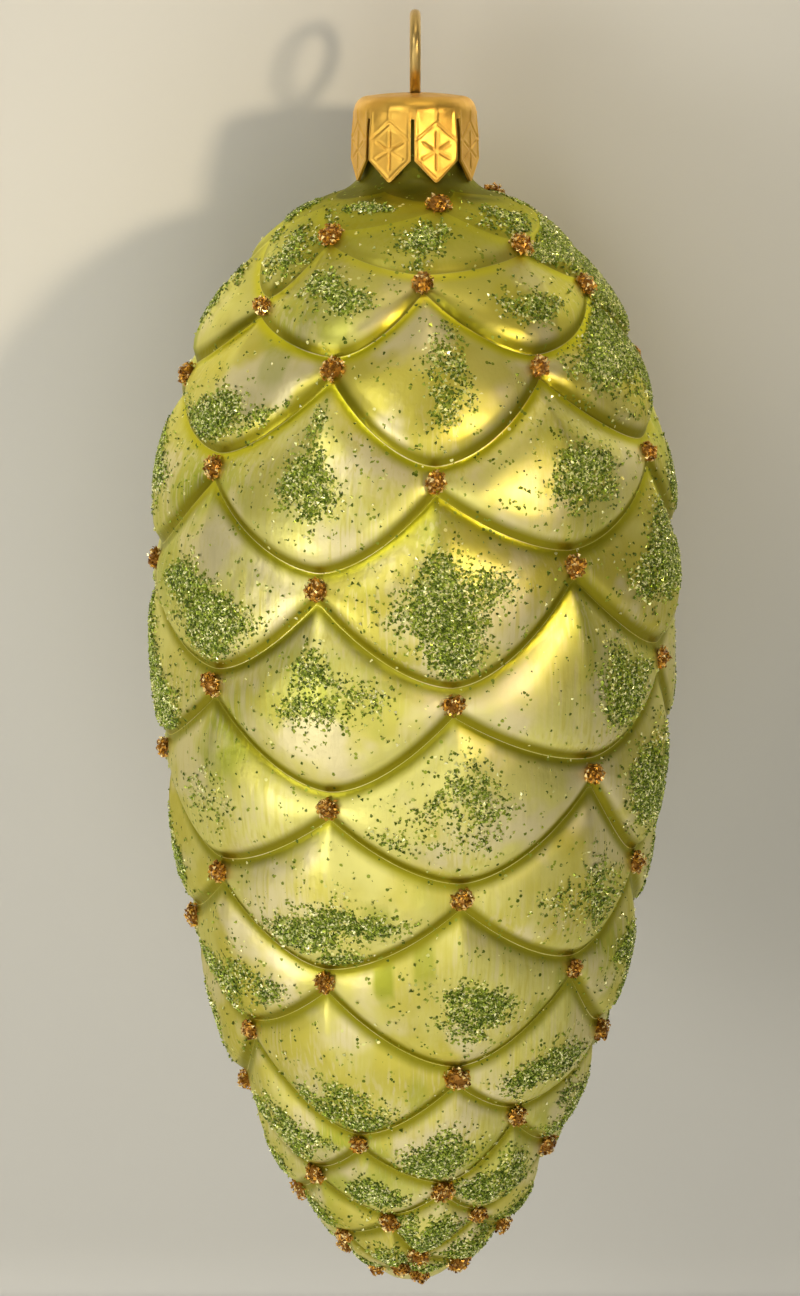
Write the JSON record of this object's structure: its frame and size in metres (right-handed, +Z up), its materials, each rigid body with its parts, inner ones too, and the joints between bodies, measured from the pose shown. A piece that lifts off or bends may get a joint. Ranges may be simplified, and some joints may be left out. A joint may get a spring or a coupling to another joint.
{
  "type": "hanging glass cone ornament",
  "caption": "Blown glass ornament shaped as a slender cedar cone with scalloped scales, a pointed-petal crown cap and a wire loop for hanging.",
  "frame": {"origin": "the point under the top of the wire loop where a hook or branch carries the ornament", "axes": "+Z up along the hanging axis, -Y towards the front, the wire loop stands in the Y-Z plane"},
  "size_m": [0.059, 0.0588, 0.1448],
  "materials": {
    "lacquered_glass": "silvered glass under satin pearl yellow-green lacquer, glossier olive in the grooves",
    "gold_sheet": "stamped thin sheet, bright gold, embossed lines",
    "gold_wire": "gold-washed spring wire, slightly dull",
    "copper_glitter": "domes of clear glue packed with copper glitter",
    "green_glitter": "loose sprinkled green glitter with pale gold sparkle"
  },
  "bodies": {
    "root": {"glass_shell": "lacquered_glass", "cap": "gold_sheet", "hanger": "gold_wire"}
  },
  "joints": []
}
